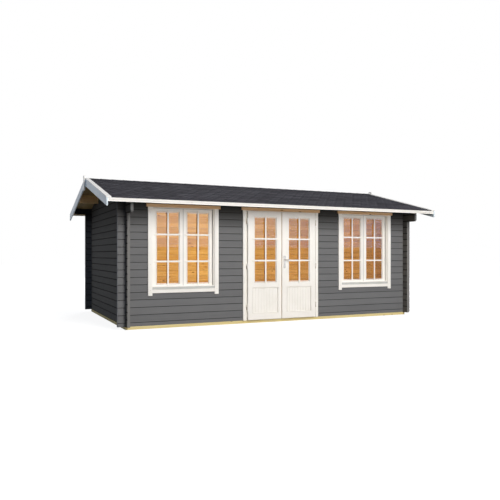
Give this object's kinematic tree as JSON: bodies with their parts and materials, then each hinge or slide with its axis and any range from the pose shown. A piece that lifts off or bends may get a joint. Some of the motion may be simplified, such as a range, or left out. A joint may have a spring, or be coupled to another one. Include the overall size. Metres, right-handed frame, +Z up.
{
  "type": "log cabin",
  "caption": "Small log cabin with crossed log corners, a low gable roof, two double windows and an outward-opening double door with a sprung lever handle.",
  "frame": {"origin": "on the ground under the middle of the building", "axes": "+X to the right along the front wall, the long way; +Y to the rear; +Z up, the short way"},
  "size_m": [6.45, 4.172, 2.653],
  "materials": {
    "treated_bearer": "sawn, pressure treated",
    "floor_pine": "planed, untreated",
    "painted_logs": "planed, grey paint, satin",
    "bare_pine": "planed, untreated",
    "bitumen_shingle": "mineral granules",
    "white_trim": "white paint, satin",
    "white_joinery": "white paint, satin",
    "window_glass": "clear",
    "zinc_steel": "zinc plated"
  },
  "bodies": {
    "cabin": {"base_frame": "treated_bearer", "floor_boards": "floor_pine", "front_wall_left": "painted_logs", "front_wall_right": "painted_logs", "front_top_logs": "painted_logs", "rear_wall": "painted_logs", "rear_top_logs": "painted_logs", "left_gable_wall": "painted_logs", "right_gable_wall": "painted_logs", "ridge_purlin": "bare_pine", "front_purlin": "bare_pine", "rear_purlin": "bare_pine", "front_roof_boards": "bare_pine", "rear_roof_boards": "bare_pine", "head_boards": "bare_pine", "front_shingles": "bitumen_shingle", "rear_shingles": "bitumen_shingle", "ridge_capping": "bitumen_shingle", "left_bargeboards": "white_trim", "right_bargeboards": "white_trim", "left_capping_boards": "white_trim", "right_capping_boards": "white_trim", "apex_boards": "white_trim", "front_eave_board": "white_trim", "rear_eave_board": "white_trim", "left_window_casing": "white_trim", "right_window_casing": "white_trim", "door_casing": "white_trim", "left_window_frame": "white_joinery", "right_window_frame": "white_joinery", "left_window_sashes": "white_joinery", "right_window_sashes": "white_joinery", "door_frame": "white_joinery", "left_window_glass": "window_glass", "right_window_glass": "window_glass", "hinge_pins": "zinc_steel"},
    "left_leaf": {"left_door_frame": "white_joinery", "left_door_panel": "white_joinery", "left_door_glass": "window_glass", "left_door_hinges": "zinc_steel"},
    "right_leaf": {"right_door_frame": "white_joinery", "right_door_panel": "white_joinery", "right_door_glass": "window_glass", "right_door_hinges": "zinc_steel", "handle_plates": "zinc_steel"},
    "lever": {"door_lever": "zinc_steel"}
  },
  "joints": [
    {"name": "left_door_swing", "type": "hinge", "parent": "cabin", "child": "left_leaf", "pos_m": [-0.6975, -1.698, 0.285], "axis": [0, 0, -1], "range_deg": [0, 120]},
    {"name": "right_door_swing", "type": "hinge", "parent": "cabin", "child": "right_leaf", "pos_m": [0.6975, -1.698, 0.285], "axis": [0, 0, 1], "range_deg": [0, 120]},
    {"name": "lever_turn", "type": "hinge", "parent": "right_leaf", "child": "lever", "pos_m": [0.042, -1.672, 1.118], "axis": [0, 1, 0], "range_deg": [0, 40], "stiffness_Nm_per_rad": 1.5, "springref_deg": -20.05}
  ]
}
